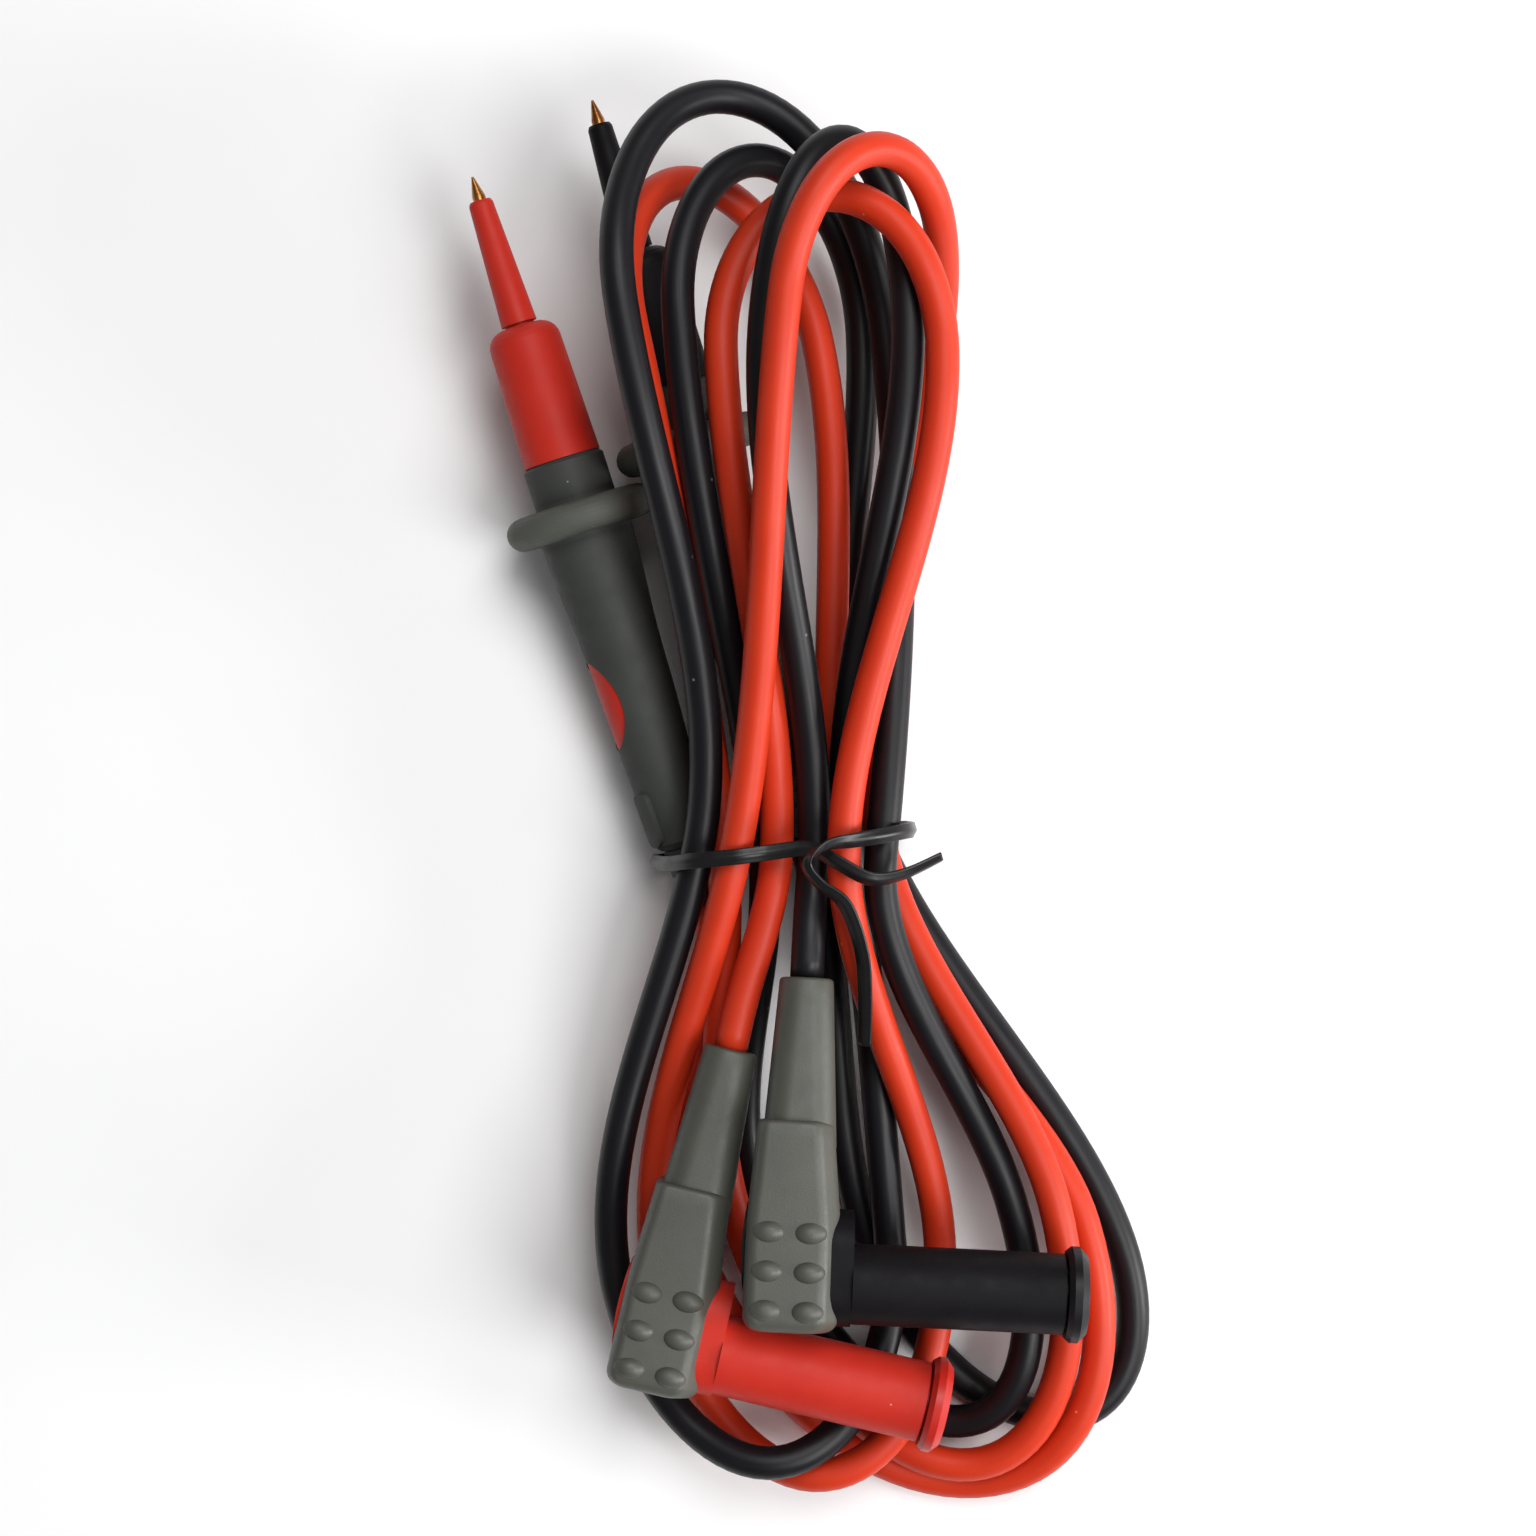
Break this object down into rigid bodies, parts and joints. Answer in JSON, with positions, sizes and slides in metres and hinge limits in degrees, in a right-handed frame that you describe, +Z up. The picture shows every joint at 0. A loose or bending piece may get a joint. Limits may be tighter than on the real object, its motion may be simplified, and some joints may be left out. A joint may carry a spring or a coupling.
{
  "type": "multimeter test leads",
  "caption": "Pair of multimeter test leads, red and black, with needle probes and capped right-angle plugs, wound in a hank and held by a twist tie.",
  "frame": {"origin": "on the table under the middle of the box round the probes, plugs and tie", "axes": "+Z up from the table, +Y along the hank towards the probe needles, +X to the side the plug shrouds point"},
  "size_m": [0.0827, 0.1718, 0.0341],
  "materials": {
    "gold_plating": "polished",
    "pin_plating": "polished",
    "bare_metal": "satin",
    "red_moulding": "matte",
    "red_cap": "satin",
    "red_jacket": "satin",
    "black_moulding": "matte",
    "black_cap": "satin",
    "black_jacket": "satin",
    "grip_rubber": "matte",
    "plug_rubber": "matte",
    "tie_plastic": "satin"
  },
  "bodies": {
    "leads": {"red_probe_needle": "gold_plating", "red_probe_core": "red_moulding", "red_probe_grip": "grip_rubber", "red_probe_boot": "grip_rubber", "red_probe_ferrule": "bare_metal", "red_cable": "red_jacket", "red_plug_pin": "pin_plating", "red_plug_spring": "gold_plating", "red_plug_body": "red_moulding", "red_plug_grip": "plug_rubber", "red_plug_tail": "plug_rubber", "red_plug_ferrule": "bare_metal", "black_probe_needle": "gold_plating", "black_probe_core": "black_moulding", "black_probe_grip": "grip_rubber", "black_probe_boot": "grip_rubber", "black_probe_ferrule": "bare_metal", "black_cable": "black_jacket", "black_plug_pin": "pin_plating", "black_plug_spring": "gold_plating", "black_plug_body": "black_moulding", "black_plug_grip": "plug_rubber", "black_plug_tail": "plug_rubber", "black_plug_ferrule": "bare_metal", "twist_tie": "tie_plastic"},
    "red_sleeve": {"red_tip_sleeve": "red_moulding"},
    "red_cap": {"red_plug_cap": "red_cap"},
    "black_sleeve": {"black_tip_sleeve": "black_moulding"},
    "black_cap": {"black_plug_cap": "black_cap"}
  },
  "joints": [
    {"name": "red_sleeve_pull", "type": "slide", "parent": "leads", "child": "red_sleeve", "axis": [-0.2996, 0.9501, 0.0872], "range_m": [0, 0.025]},
    {"name": "black_sleeve_pull", "type": "slide", "parent": "leads", "child": "black_sleeve", "axis": [-0.2746, 0.9576, 0.0872], "range_m": [0, 0.025]},
    {"name": "red_cap_pull", "type": "slide", "parent": "leads", "child": "red_cap", "axis": [0.974, -0.2267, 0], "range_m": [0, 0.045]},
    {"name": "black_cap_pull", "type": "slide", "parent": "leads", "child": "black_cap", "axis": [0.9988, -0.0489, 0], "range_m": [0, 0.045]}
  ]
}
